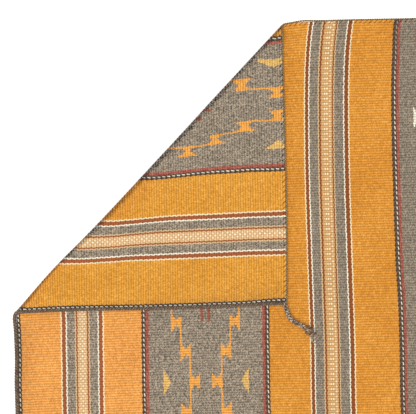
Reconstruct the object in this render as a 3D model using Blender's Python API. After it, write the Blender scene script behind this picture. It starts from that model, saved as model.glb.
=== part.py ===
# Hand-woven banded wool rug, lying flat with its far left corner folded over onto it.
# Metres, +Z up. The rug's length runs along X and its width along Y, and it rests on z = 0.
# The origin is the middle of the rug on its underside.
#
# A point of the weaving is named by u, its distance from the left end, and v, its distance
# from the far side, both measured on the rug before it is folded.

import math

import bmesh
import bpy
import numpy as np
from mathutils import Matrix

# The weaving
RUG_LENGTH = 1.611
RUG_WIDTH = 0.988
RUG_THICKNESS = 0.003
GRID_COLUMNS = 30
GRID_ROWS = 18

# Cords bound along the edges, and the tassels that their ends make at the corners
END_CORD = 0.0044
SIDE_CORD = 0.0028
TASSEL_CORD = 0.0048
CLEARANCE = 0.0003
CORD_GAP = 0.00055

# The folded corner, with the fold's outer line given by where it crosses the two edges
# on the rug's nominal outline, and how far outside or inside that outline it does so
FOLD_ON_SIDE, SIDE_OFFSET = 0.388, 0.0013
FOLD_ON_END, END_OFFSET = 0.385, 0.0042
BEND_LENGTH = 0.030
RELAX_LENGTH = 0.060
LAYER_GAP = 0.0016
BEND_LINES = 13
RELAX_LINES = 5
SEARCH_STEPS = 40
MOST_OVERSHOOT = 1.2
PROFILE_POINTS = 1801

# Unevenness of the outline, as the hand-woven edges and stripes wander. Each has how far it
# moves the weaving, then where along u or v it starts, or over what length it fades or waves.
END_LEAN, LEAN_REACH, LEAN_FROM, LEAN_FADE = 0.0040, 0.20, 0.20, 0.25
SIDE_DRAW, DRAW_REACH, DRAW_FADE = 0.0102, 0.20, 0.45
STRIPE_HOOK, HOOK_FROM, HOOK_GROW, HOOK_DEPTH = 0.0125, 0.02, 0.38, 0.060
HOOK_LOSS, LOSS_FROM, LOSS_OVER = 0.7, 0.75, 0.60
NEAR_SWAY, NEAR_WAVE, NEAR_SHIFT = 0.0045, 1.05, 0.6
RIGHT_SWAY, RIGHT_REACH, RIGHT_WAVE = 0.0050, 0.45, 0.80

# Tassels: twisted two-ply cord, an overhand knot and loose yarn ends
TWIST_PITCH = 0.0115
TWIST_WAIST = 0.20
CORD_SIDES = 8
RING_STEP = 0.0016
KNOT_SIZE = (0.0105, 0.0088, 0.0052)
YARN_END = 0.0011
YARN_ENDS = 6
YARN_END_LENGTH, YARN_END_LOSS = 0.011, 0.35
FAN_WIDTH, FAN_SPREAD = 0.006, 0.9

# Routes of the tassels, in millimetres from the corner: (away from the end, along the end
# towards the rug's middle)
FOLDED_ROUTE = ((0, 2.0), (5, 2.3), (10, 0.6), (17, -1.6), (22, -4.6), (27, -9.6), (32, -15.2),
                (35.5, -21.0), (41, -28.0))
LOOSE_ROUTE = ((0, 2.0), (6, 2.2), (13, 1.2), (20, -0.8), (27, -2.6), (34, -3.2), (41, -2.0),
               (48, 1.0))
START_GAP = 0.0006

MID = RUG_THICKNESS / 2


def smooth_step(x):
    """0 below x = 0, 1 above x = 1, and a smooth rise between."""
    x = np.clip(x, 0, 1)
    return x * x * (3 - 2 * x)


def plan(u, v):
    """X and Y of a point of the weaving seen from above, before the corner is folded."""
    lean = -END_LEAN * (1 - smooth_step(u / LEAN_REACH))
    lean = lean * (1 - smooth_step((v - LEAN_FROM) / LEAN_FADE))
    hook = STRIPE_HOOK * smooth_step((u - HOOK_FROM) / HOOK_GROW) * np.exp(-v / HOOK_DEPTH)
    hook = hook * (1 - HOOK_LOSS * smooth_step((u - LOSS_FROM) / LOSS_OVER))
    right = smooth_step((u - RUG_LENGTH) / RIGHT_REACH + 1)
    right_sway = RIGHT_SWAY * right * np.sin(2 * np.pi * v / RIGHT_WAVE)
    draw = SIDE_DRAW * np.exp(-u / DRAW_REACH) * (1 - smooth_step(v / DRAW_FADE))
    wave = np.sin(2 * np.pi * u / NEAR_WAVE + NEAR_SHIFT)
    near_sway = NEAR_SWAY * wave * smooth_step(v / RUG_WIDTH)
    x = u - RUG_LENGTH / 2 + lean + hook + right_sway
    y = RUG_WIDTH / 2 - v - draw + near_sway
    return x, y


# The fold line runs from the far side to the left end. ALONG follows it, TO_CORNER points to
# the corner that is turned over.
SIDE_CROSSING = np.array([FOLD_ON_SIDE - RUG_LENGTH / 2, RUG_WIDTH / 2 + SIDE_OFFSET])
END_CROSSING = np.array([END_OFFSET - RUG_LENGTH / 2, RUG_WIDTH / 2 - FOLD_ON_END])
ALONG = (END_CROSSING - SIDE_CROSSING) / np.linalg.norm(END_CROSSING - SIDE_CROSSING)
TO_CORNER = np.array([ALONG[1], -ALONG[0]])


def bend_profile(overshoot):
    """Arc length, outward run, rise and angle of the rug's middle as it turns over.

    The angle swings through half a turn and a little more, then eases back to level."""
    s = np.linspace(0, BEND_LENGTH + RELAX_LENGTH, PROFILE_POINTS)
    turn = np.clip(s / BEND_LENGTH, 0, 1)
    swing = turn - np.sin(2 * np.pi * turn) / (2 * np.pi)
    ease = smooth_step((s - BEND_LENGTH) / RELAX_LENGTH)
    angle = (math.pi + overshoot) * swing - overshoot * ease
    step = s[1] - s[0]
    middle = (angle[1:] + angle[:-1]) / 2
    out = np.concatenate([[0], np.cumsum(np.cos(middle)) * step])
    rise = np.concatenate([[0], np.cumsum(np.sin(middle)) * step])
    return s, out, rise, angle


def settled_profile():
    """The bend whose overshoot brings the flap down to LAYER_GAP above the lower layer."""
    wanted = RUG_THICKNESS + LAYER_GAP
    low, high = 0.0, MOST_OVERSHOOT
    for _ in range(SEARCH_STEPS):
        overshoot = (low + high) / 2
        if bend_profile(overshoot)[2][-1] > wanted:
            low = overshoot
        else:
            high = overshoot
    return bend_profile(overshoot)


ARC, ARC_OUT, ARC_RISE, ARC_ANGLE = settled_profile()
BEND_START = -(ARC_OUT.max() + MID)


def fold(x, y, lift):
    """Carries plan points over the fold. lift is the height above the rug's middle."""
    offset_x = x - SIDE_CROSSING[0]
    offset_y = y - SIDE_CROSSING[1]
    across = offset_x * TO_CORNER[0] + offset_y * TO_CORNER[1]
    s = np.maximum(across - BEND_START, 0)
    beyond = np.maximum(s - ARC[-1], 0)
    out = np.interp(s, ARC, ARC_OUT) - beyond
    rise = np.interp(s, ARC, ARC_RISE)
    angle = np.interp(s, ARC, ARC_ANGLE)
    moved = np.where(s > 0, BEND_START + out - across - lift * np.sin(angle), 0)
    z = MID + rise + lift * np.cos(angle)
    return x + moved * TO_CORNER[0], y + moved * TO_CORNER[1], z


def bend_depth(u, v):
    """How far a point of the weaving lies past the start of the bend, or 0 before it."""
    x, y = plan(u, v)
    offset = np.stack([x - SIDE_CROSSING[0], y - SIDE_CROSSING[1]])
    return np.maximum(TO_CORNER @ offset - BEND_START, 0)


def material(name, colour, roughness):
    made = bpy.data.materials.new(name)
    made.use_nodes = True
    shader = made.node_tree.nodes["Principled BSDF"]
    shader.inputs["Base Color"].default_value = (*colour, 1)
    shader.inputs["Roughness"].default_value = roughness
    shader.inputs["Metallic"].default_value = 0
    made.diffuse_color = (*colour, 1)
    return made


def add_object(name, data, finish):
    made = bpy.data.objects.new(name, data)
    bpy.context.scene.collection.objects.link(made)
    data.materials.append(finish)
    return made


def woven_field(finish):
    """One sheet: a grid of the weaving, cut along the bend's lines, folded and thickened."""
    sheet = bmesh.new()
    corners = []
    for row in range(GRID_ROWS + 1):
        v = RUG_WIDTH * row / GRID_ROWS
        for column in range(GRID_COLUMNS + 1):
            u = RUG_LENGTH * column / GRID_COLUMNS
            x, y = plan(np.float64(u), np.float64(v))
            corners.append(sheet.verts.new((x, y, 0)))
    for row in range(GRID_ROWS):
        for column in range(GRID_COLUMNS):
            first = row * (GRID_COLUMNS + 1) + column
            below = first + GRID_COLUMNS + 1
            sheet.faces.new((corners[below], corners[below + 1], corners[first + 1], corners[first]))
    cut_along_bend(sheet)
    flat = np.array([vert.co for vert in sheet.verts])
    folded = np.stack(fold(flat[:, 0], flat[:, 1], 0), axis=1)
    for vert, place in zip(sheet.verts, folded):
        vert.co = place
    mesh = bpy.data.meshes.new("woven_field")
    sheet.to_mesh(mesh)
    sheet.free()
    rug = add_object("woven_field", mesh, finish)
    solidify = rug.modifiers.new("Thickness", "SOLIDIFY")
    solidify.thickness = RUG_THICKNESS
    solidify.offset = 0
    solidify.use_even_offset = True


def cut_along_bend(sheet):
    """Adds the lines on which the flat grid will bend, parallel to the fold."""
    for s in bend_lines():
        place = SIDE_CROSSING + TO_CORNER * (BEND_START + s)
        bmesh.ops.bisect_plane(
            sheet,
            geom=sheet.verts[:] + sheet.edges[:] + sheet.faces[:],
            plane_co=(*place, 0),
            plane_no=(*TO_CORNER, 0),
        )


def tube(name, points, diameter, finish):
    """A round cord along a row of points, closed at both ends."""
    curve = bpy.data.curves.new(name, "CURVE")
    curve.dimensions = "3D"
    curve.bevel_depth = diameter / 2
    curve.bevel_resolution = 2
    curve.use_fill_caps = True
    spline = curve.splines.new("POLY")
    spline.points.add(len(points) - 1)
    for place, point in zip(points, spline.points):
        point.co = (*place, 1)
    return add_object(name, curve, finish)


def bend_lines():
    """Distances past the start of the bend at which the rug's sheet has a line across it."""
    bend = np.linspace(0, BEND_LENGTH, BEND_LINES)
    relax = np.linspace(BEND_LENGTH, BEND_LENGTH + RELAX_LENGTH, RELAX_LINES + 1)
    return np.concatenate([bend, relax[1:]])


def edge_cord(name, start, end, outward, diameter, finish):
    """A cord bound along one edge, from (u, v) start to end, set off the edge by outward.

    It has a point wherever the sheet's edge has one, so the two run side by side."""
    share = np.linspace(0, 1, 4001)
    stand_off = diameter / 2 + CORD_GAP
    u = start[0] + (end[0] - start[0]) * share + outward[0] * stand_off
    v = start[1] + (end[1] - start[1]) * share + outward[1] * stand_off
    depth = bend_depth(u, v)
    if outward[0]:
        rows = RUG_WIDTH * np.arange(1, GRID_ROWS) / GRID_ROWS
        chosen = (rows - start[1]) / (end[1] - start[1])
    else:
        columns = RUG_LENGTH * np.arange(1, GRID_COLUMNS) / GRID_COLUMNS
        chosen = (columns - start[0]) / (end[0] - start[0])
    lines = bend_lines()
    crossed = lines[lines < depth.max()]
    past = depth > 0
    if past.any():
        chosen = np.append(chosen, np.interp(crossed, depth[past], share[past]))
    chosen = np.sort(np.append(chosen, [0, 1]))
    chosen = chosen[np.append(True, np.diff(chosen) > 1e-3)]
    u, v = np.interp(chosen, share, u), np.interp(chosen, share, v)
    depth = bend_depth(u, v)
    # On the floor the cord rests on z = 0, and on the flap it runs level with the rug
    lift = (diameter / 2 - MID) * (1 - smooth_step(depth / BEND_LENGTH))
    points = np.stack(fold(*plan(u, v), lift), axis=1)
    return tube(name, points, diameter, finish)


def smooth_route(points, step):
    """A curve through the points, read off at even steps of about the given length, and how
    far along it each reading lies."""
    points = np.array(points)
    knots = np.concatenate([[0], np.cumsum(np.linalg.norm(np.diff(points, axis=0), axis=1))])
    slopes = np.gradient(points, knots, axis=0)
    places = np.linspace(0, knots[-1], int(knots[-1] / step) + 1)
    i = np.clip(np.searchsorted(knots, places, side="right") - 1, 0, len(knots) - 2)
    span = (knots[i + 1] - knots[i])[:, None]
    t = ((places - knots[i])[:, None]) / span
    start = points[i] * (2 * t**3 - 3 * t**2 + 1) + slopes[i] * span * (t**3 - 2 * t**2 + t)
    end = points[i + 1] * (3 * t**2 - 2 * t**3) + slopes[i + 1] * span * (t**3 - t**2)
    return start + end, places


def ringed_mesh(name, rings):
    """A closed solid skinned over rings of points, which run anticlockwise seen from the end."""
    solid = bmesh.new()
    rows = [[solid.verts.new(point) for point in ring] for ring in rings]
    count = len(rows[0])
    for near, far in zip(rows, rows[1:]):
        for i in range(count):
            j = (i + 1) % count
            solid.faces.new((near[i], near[j], far[j], far[i]))
    solid.faces.new(rows[0][::-1])
    solid.faces.new(rows[-1])
    bmesh.ops.recalc_face_normals(solid, faces=solid.faces[:])
    mesh = bpy.data.meshes.new(name)
    solid.to_mesh(mesh)
    solid.free()
    return mesh


def rings_along(route, radius, sides, waist=0.0, turn=0.0):
    """Rings across a level route. waist pinches each ring to two lobes, turned by turn."""
    tangent = np.gradient(route, axis=0)
    tangent /= np.linalg.norm(tangent, axis=1)[:, None]
    sideways = np.cross(tangent, [0, 0, 1])
    sideways /= np.linalg.norm(sideways, axis=1)[:, None]
    upward = np.cross(sideways, tangent)
    around = np.linspace(0, 2 * np.pi, sides, endpoint=False)
    lobes = 1 - waist + waist * np.cos(2 * (around[None] - np.reshape(turn, (-1, 1))))
    spread = np.reshape(radius, (-1, 1)) * lobes
    flat = (np.cos(around) * spread)[..., None] * sideways[:, None]
    tall = (np.sin(around) * spread)[..., None] * upward[:, None]
    return route[:, None] + flat + tall


def helper(name, mesh, group):
    """A shape that is joined into a tassel, and isn't a piece by itself."""
    made = bpy.data.objects.new(name, mesh)
    group.objects.link(made)
    made.hide_render = True
    made.display_type = "WIRE"
    return made


def knot_mesh(name, centre, heading):
    """A squat ball, longest along the cord."""
    ball = bmesh.new()
    bmesh.ops.create_uvsphere(ball, u_segments=10, v_segments=7, radius=0.5)
    bmesh.ops.scale(ball, vec=KNOT_SIZE, verts=ball.verts[:])
    turned = Matrix.Rotation(math.atan2(heading[1], heading[0]), 3, "Z")
    bmesh.ops.rotate(ball, cent=(0, 0, 0), matrix=turned, verts=ball.verts[:])
    bmesh.ops.translate(ball, vec=tuple(centre), verts=ball.verts[:])
    mesh = bpy.data.meshes.new(name)
    ball.to_mesh(mesh)
    ball.free()
    return mesh


def tassel(name, route, floor, finish):
    """Twisted cord along the route, a knot on its end, and loose yarn ends past the knot."""
    path, places = smooth_route(route, RING_STEP)
    twist = 2 * np.pi * places / TWIST_PITCH
    rings = rings_along(path, TASSEL_CORD / 2, CORD_SIDES, TWIST_WAIST, twist)
    cord = add_object(name, ringed_mesh(name, rings), finish)
    heading = (path[-1] - path[-4]) / np.linalg.norm(path[-1] - path[-4])
    group = bpy.data.collections.new(name + "_pieces")
    bpy.context.scene.collection.children.link(group)
    knot_centre = path[-1] * (1, 1, 0) + (0, 0, floor + KNOT_SIZE[2] / 2)
    helper(name + "_knot", knot_mesh(name + "_knot", knot_centre, heading), group)
    sideways = np.array([-heading[1], heading[0], 0])
    for end in range(YARN_ENDS):
        fan = (end - (YARN_ENDS - 1) / 2) / YARN_ENDS
        # Each end is cut to its own length
        length = YARN_END_LENGTH * (1 - YARN_END_LOSS * math.sin(2 * end + 1) ** 2)
        start = knot_centre * (1, 1, 0) + (0, 0, floor + YARN_END)
        reach = np.linspace(0, KNOT_SIZE[0] / 2 + length, 4)[:, None]
        strand = start + heading * reach + sideways * fan * (FAN_WIDTH + FAN_SPREAD * reach)
        radius = YARN_END * np.array([1, 1, 0.9, 0.5])
        mesh = ringed_mesh(f"{name}_yarn{end}", rings_along(strand, radius, 4))
        helper(f"{name}_yarn{end}", mesh, group)
    union = cord.modifiers.new("Joined", "BOOLEAN")
    union.operation = "UNION"
    union.operand_type = "COLLECTION"
    union.collection = group
    union.solver = "EXACT"


def corner_route(corner_u, corner_v, away, inward, route, height):
    """Floor or flap positions of a route that starts at a corner of the weaving."""
    x, y = plan(np.float64(corner_u), np.float64(corner_v))
    x, y, _ = fold(x, y, 0)
    start = np.array([x, y])
    along = np.array(route) / 1000
    flat = start + np.outer(along[:, 0] + START_GAP, away) + np.outer(along[:, 1], inward)
    return np.column_stack([flat, np.full(len(flat), height)])


def folded_directions():
    """On the flap: away from the rug's end, and along the end towards its middle."""
    place = np.array([fold(*plan(u, v), 0)[:2] for u, v in ((0.0, 0.0), (0.02, 0.0), (0.0, 0.02))])
    away = place[0] - place[1]
    inward = place[2] - place[0]
    return away / np.linalg.norm(away), inward / np.linalg.norm(inward)


def main():
    for obj in list(bpy.data.objects):
        bpy.data.objects.remove(obj)

    field_wool = material("field_wool", (0.72, 0.31, 0.06), 0.9)
    end_wool = material("end_wool", (0.10, 0.06, 0.035), 0.92)
    side_wool = material("side_wool", (0.22, 0.16, 0.11), 0.92)

    woven_field(field_wool)

    # End cords stop where the corner tassels begin
    stop = TASSEL_CORD + CLEARANCE
    near_v = RUG_WIDTH - stop
    edge_cord("end_cord_left", (0, near_v), (0, stop), (-1, 0), END_CORD, end_wool)
    edge_cord("end_cord_right", (RUG_LENGTH, near_v), (RUG_LENGTH, stop), (1, 0), END_CORD, end_wool)
    edge_cord("side_cord_far", (RUG_LENGTH, 0), (0, 0), (0, -1), SIDE_CORD, side_wool)
    edge_cord("side_cord_near", (RUG_LENGTH, RUG_WIDTH), (0, RUG_WIDTH), (0, 1), SIDE_CORD, side_wool)

    floor = CLEARANCE / 2
    layer_top = RUG_THICKNESS + CLEARANCE
    away, inward = folded_directions()
    on_rug = corner_route(0, 0, away, inward, FOLDED_ROUTE, layer_top + TASSEL_CORD / 2)
    tassel("tassel_folded", on_rug, layer_top, end_wool)
    level = floor + TASSEL_CORD / 2
    right_far = corner_route(RUG_LENGTH, 0, (1, 0), (0, -1), LOOSE_ROUTE, level)
    tassel("tassel_right_far", right_far, floor, end_wool)
    left_near = corner_route(0, RUG_WIDTH, (-1, 0), (0, 1), LOOSE_ROUTE, level)
    tassel("tassel_left_near", left_near, floor, end_wool)
    right_near = corner_route(RUG_LENGTH, RUG_WIDTH, (1, 0), (0, 1), LOOSE_ROUTE, level)
    tassel("tassel_right_near", right_near, floor, end_wool)


main()
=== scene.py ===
import math

import bpy
import numpy as np
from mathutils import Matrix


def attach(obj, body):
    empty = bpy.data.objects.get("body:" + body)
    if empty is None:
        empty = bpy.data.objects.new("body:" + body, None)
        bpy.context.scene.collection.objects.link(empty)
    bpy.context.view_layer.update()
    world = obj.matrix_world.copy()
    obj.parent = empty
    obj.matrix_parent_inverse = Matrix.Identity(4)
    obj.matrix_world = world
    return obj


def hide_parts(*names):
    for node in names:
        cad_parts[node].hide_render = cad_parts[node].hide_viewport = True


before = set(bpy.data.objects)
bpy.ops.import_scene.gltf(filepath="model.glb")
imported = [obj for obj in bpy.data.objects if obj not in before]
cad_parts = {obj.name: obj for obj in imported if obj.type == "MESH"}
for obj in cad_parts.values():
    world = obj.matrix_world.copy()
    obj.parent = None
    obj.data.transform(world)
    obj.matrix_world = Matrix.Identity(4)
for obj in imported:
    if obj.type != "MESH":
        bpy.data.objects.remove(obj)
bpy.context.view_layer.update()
print("frame loaded:", ", ".join(sorted(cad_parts)))

# The rug is named by u, metres from its left end, and v, metres from its far side, as woven.
rug = {
    "length": 1.611, "width": 0.988, "thickness": 0.003,
    "ribs": 282, "ribDepth": 0.00042, "rowsPerRib": 4,
    "flapColumns": 5, "relaxColumns": 8, "bendColumns": 16, "layerColumns": 32,
    "merged": 1e-7, "markRange": (-50, 150),
}
turned = {  # the corner that is folded over, and how finely its bend is worked out
    "onSide": 0.388, "sideOffset": 0.0013, "onEnd": 0.385, "endOffset": 0.0042,
    "bendLength": 0.030, "relaxLength": 0.060, "layerGap": 0.0016,
    "tightAt": 0.070, "tightReach": 0.062, "tight": 0.55,  # the fold is pressed tighter here
    "topTight": 0.16, "topFrom": 0.34, "topOver": 0.06, "push": 0.0014,
    "profilePoints": 1801, "mostOvershoot": 1.2, "halvings": 40, "searchSteps": 16,
}
wander = {  # how the hand-woven edges stray: amounts, and where each one grows or fades
    "endLean": 0.0040, "leanReach": 0.20, "leanFrom": 0.20, "leanFade": 0.25,
    "sideDraw": 0.0102, "drawReach": 0.20, "drawFade": 0.45,
    "hook": 0.0125, "hookFrom": 0.02, "hookGrow": 0.38, "hookDepth": 0.060,
    "hookLoss": 0.7, "lossFrom": 0.75, "lossOver": 0.60,
    "nearSway": 0.0045, "nearWave": 1.05, "nearShift": 0.6,
    "rightSway": 0.0050, "rightReach": 0.45, "rightWave": 0.80,
    "shoulder": 0.0023, "shoulderFrom": 0.37, "shoulderGrow": 0.03,
    "shoulderLast": 0.42, "shoulderFade": 0.17, "shoulderDepth": 0.07,
    "peak": 0.0011, "peakAt": 0.405, "peakReach": 0.016,
    "swell": 0.0018, "swellFrom": 0.45, "swellGrow": 0.05,
    "swellLast": 0.6, "swellFade": 0.2, "swellDepth": 0.04,
    "bulge": 0.0012, "bulgeAt": 0.398, "bulgeReach": 0.012, "bulgeDepth": 0.003,
}
mid = rug["thickness"] / 2


def smoothStep(x):  # 3x^2 - 2x^3, held at 0 and 1 outside
    x = np.clip(x, 0, 1)
    return x * x * (3 - 2 * x)


def plan(u, v):  # X and Y seen from above before folding: u and v, plus each way of straying
    w = wander
    lean = -w["endLean"] * (1 - smoothStep(u / w["leanReach"]))
    lean = lean * (1 - smoothStep((v - w["leanFrom"]) / w["leanFade"]))
    hook = w["hook"] * smoothStep((u - w["hookFrom"]) / w["hookGrow"]) * np.exp(-v / w["hookDepth"])
    hook = hook * (1 - w["hookLoss"] * smoothStep((u - w["lossFrom"]) / w["lossOver"]))
    right = smoothStep((u - rug["length"]) / w["rightReach"] + 1)
    rightSway = w["rightSway"] * right * np.sin(2 * np.pi * v / w["rightWave"])
    draw = w["sideDraw"] * np.exp(-u / w["drawReach"]) * (1 - smoothStep(v / w["drawFade"]))
    nearSway = np.sin(2 * np.pi * u / w["nearWave"] + w["nearShift"])
    nearSway = w["nearSway"] * nearSway * smoothStep(v / rug["width"])
    x = u - rug["length"] / 2 + lean + hook + rightSway
    y = rug["width"] / 2 - v - draw + nearSway

    # The far side stands out where it leaves the fold, and the left end below the turned corner
    shoulder = w["shoulder"] * (1 - smoothStep((u - w["shoulderLast"]) / w["shoulderFade"]))
    shoulder = shoulder + w["peak"] * np.exp(-((u - w["peakAt"]) / w["peakReach"]) ** 2)
    shoulder = shoulder * smoothStep((u - w["shoulderFrom"]) / w["shoulderGrow"])
    y = y + shoulder * np.exp(-np.maximum(v, 0) / w["shoulderDepth"])
    swell = w["swell"] * smoothStep((v - w["swellFrom"]) / w["swellGrow"])
    swell = swell * (1 - smoothStep((v - w["swellLast"]) / w["swellFade"]))
    bulge = w["bulge"] * np.exp(-((v - w["bulgeAt"]) / w["bulgeReach"]) ** 2)
    bulge = bulge * smoothStep(-u / w["bulgeDepth"])
    x = x - swell * (1 - smoothStep(u / w["swellDepth"])) - bulge
    return x, y


def bendProfile(overshoot):
    # Angle of the cloth along its length: half a turn and a little more, eased back to level.
    # Its cosine and sine are summed into the outward run and the rise.
    whole = turned["bendLength"] + turned["relaxLength"]
    s = np.linspace(0, whole, turned["profilePoints"])
    turn = np.clip(s / turned["bendLength"], 0, 1)
    swing = turn - np.sin(2 * np.pi * turn) / (2 * np.pi)
    ease = smoothStep((s - turned["bendLength"]) / turned["relaxLength"])
    angle = (math.pi + overshoot) * swing - overshoot * ease
    middle = (angle[1:] + angle[:-1]) / 2
    out = np.concatenate([[0], np.cumsum(np.cos(middle)) * s[1]])
    rise = np.concatenate([[0], np.cumsum(np.sin(middle)) * s[1]])
    return s, out, rise, angle


def settledProfile():  # halves the range of overshoots until the flap lies at its height
    low, high = 0.0, turned["mostOvershoot"]
    for _ in range(turned["halvings"]):
        overshoot = (low + high) / 2
        if bendProfile(overshoot)[2][-1] > rug["thickness"] + turned["layerGap"]:
            low = overshoot
        else:
            high = overshoot
    return bendProfile(overshoot)


sideCrossing = np.array([turned["onSide"] - rug["length"] / 2,
                         rug["width"] / 2 + turned["sideOffset"]])
endCrossing = np.array([turned["endOffset"] - rug["length"] / 2,
                        rug["width"] / 2 - turned["onEnd"]])
alongFold = (endCrossing - sideCrossing) / np.linalg.norm(endCrossing - sideCrossing)
toCorner = np.array([alongFold[1], -alongFold[0]])
arc, arcOut, arcRise, arcAngle = settledProfile()
bendStart = -(arcOut.max() + mid)
foldLine = bendStart + (arc[-1] + arcOut[-1]) / 2  # where a sharp crease would lie


def bendAt(u, v):
    # The bend's size beside its full size, and metres past its beginning in full size. A
    # tighter bend reaches further out, and the turned corner stays where it is.
    x, y = plan(u, v)
    along = (endCrossing[0] - x) * alongFold[0] + (endCrossing[1] - y) * alongFold[1]
    bump = np.exp(-((along - turned["tightAt"]) / turned["tightReach"]) ** 2)
    top = smoothStep((along - turned["topFrom"]) / turned["topOver"])
    size = 1 - turned["tight"] * bump - turned["topTight"] * top
    start = foldLine - size * (foldLine - bendStart) + turned["push"] * bump
    across = (x - sideCrossing[0]) * toCorner[0] + (y - sideCrossing[1]) * toCorner[1]
    return size, (across - start) / size


def pastBend(u, v):  # metres of cloth past the bend's start, below 0 on the flat layer
    return bendAt(u, v)[1]


def onRug(u, v, lift):
    # The plan point, carried along the bend's profile, then lifted along the cloth's own normal
    x, y = plan(u, v)
    size, depth = bendAt(u, v)
    s = np.maximum(depth, 0)
    out = np.interp(s, arc, arcOut) - np.maximum(s - arc[-1], 0)
    angle = np.interp(s, arc, arcAngle)
    moved = np.where(s > 0, (out - depth) * size - lift * np.sin(angle), 0)
    rise = np.interp(s, arc, arcRise) * size + (1 - size) * arcRise[-1] * smoothStep(s / arc[-1])
    z = mid + rise + lift * np.cos(angle)
    return np.stack([x + moved * toCorner[0], y + moved * toCorner[1], z], axis=-1)


def clothNormal(u, v):  # upper side of the cloth: leans back over the fold by the bend's angle
    angle = np.interp(np.maximum(pastBend(u, v), 0), arc, arcAngle)
    lean = -np.sin(angle)
    return np.stack([lean * toCorner[0], lean * toCorner[1], np.cos(angle)], axis=-1)


def uAtDepth(depth, v):  # where along a row the cloth is that far past the bend's start
    u = np.full(v.shape, turned["onSide"])
    for _ in range(turned["searchSteps"]):
        size, past = bendAt(u, v)
        u = u - (past - depth) * size / toCorner[0]
    return np.clip(u, 0, rug["length"])


def meshPiece(name, points, triangles, uvs, marks, material):
    # Drops triangles that have no area and points that nothing uses, then fills the mesh. The
    # marks are one number a point, which the material reads.
    a, b, c = triangles.T
    triangles = triangles[(a != b) & (b != c) & (a != c)]
    used, triangles = np.unique(triangles, return_inverse=True)
    triangles = triangles.reshape(-1, 3)
    points, uvs, marks = points[used], uvs[used], marks[used]
    mesh = bpy.data.meshes.new(name)
    mesh.vertices.add(len(points))
    mesh.vertices.foreach_set("co", points.astype(np.float32).ravel())
    mesh.loops.add(triangles.size)
    mesh.loops.foreach_set("vertex_index", triangles.astype(np.int32).ravel())
    mesh.polygons.add(len(triangles))
    mesh.polygons.foreach_set("loop_start", np.arange(0, triangles.size, 3, dtype=np.int32))
    mesh.polygons.foreach_set("loop_total", np.full(len(triangles), 3, dtype=np.int32))
    layer = mesh.uv_layers.new(name="weave")
    layer.data.foreach_set("uv", uvs[triangles.ravel()].astype(np.float32).ravel())
    mark = mesh.attributes.new("mark", "FLOAT", "POINT")
    mark.data.foreach_set("value", marks.astype(np.float32))
    mesh.update()
    mesh.validate()
    mesh.shade_smooth()
    piece = bpy.data.objects.new(name, mesh)
    bpy.context.scene.collection.objects.link(piece)
    mesh.materials.append(material)
    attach(piece, "root")
    return piece


def gridTriangles(index):  # two triangles for each cell of a grid of point numbers
    a, b = index[:-1, :-1].ravel(), index[:-1, 1:].ravel()
    c, d = index[1:, 1:].ravel(), index[1:, :-1].ravel()
    return np.concatenate([np.stack([a, d, c], 1), np.stack([a, c, b], 1)])


class Value:  # a shader socket that takes part in Python expressions
    def __init__(self, shader, socket):
        self.shader, self.socket = shader, socket

    def math(self, operation, *others):
        return self.shader.math(operation, self, *others)

    def __add__(self, other):
        return self.math("ADD", other)

    def __radd__(self, other):
        return self.math("ADD", other)

    def __sub__(self, other):
        return self.math("SUBTRACT", other)

    def __rsub__(self, other):
        return self.shader.math("SUBTRACT", other, self)

    def __mul__(self, other):
        return self.math("MULTIPLY", other)

    def __rmul__(self, other):
        return self.math("MULTIPLY", other)

    def __truediv__(self, other):
        return self.math("DIVIDE", other)

    def __lt__(self, other):
        return self.math("LESS_THAN", other)

    def __gt__(self, other):
        return self.math("GREATER_THAN", other)

    def __mod__(self, other):
        return self.math("FLOORED_MODULO", other)

    def __pow__(self, other):
        return self.math("POWER", other)

    def __abs__(self):
        return self.math("ABSOLUTE")

    def floor(self):
        return self.math("FLOOR")

    def smaller(self, other):
        return self.math("MINIMUM", other)

    def larger(self, other):
        return self.math("MAXIMUM", other)

    def sine(self):
        return self.math("SINE")


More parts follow.
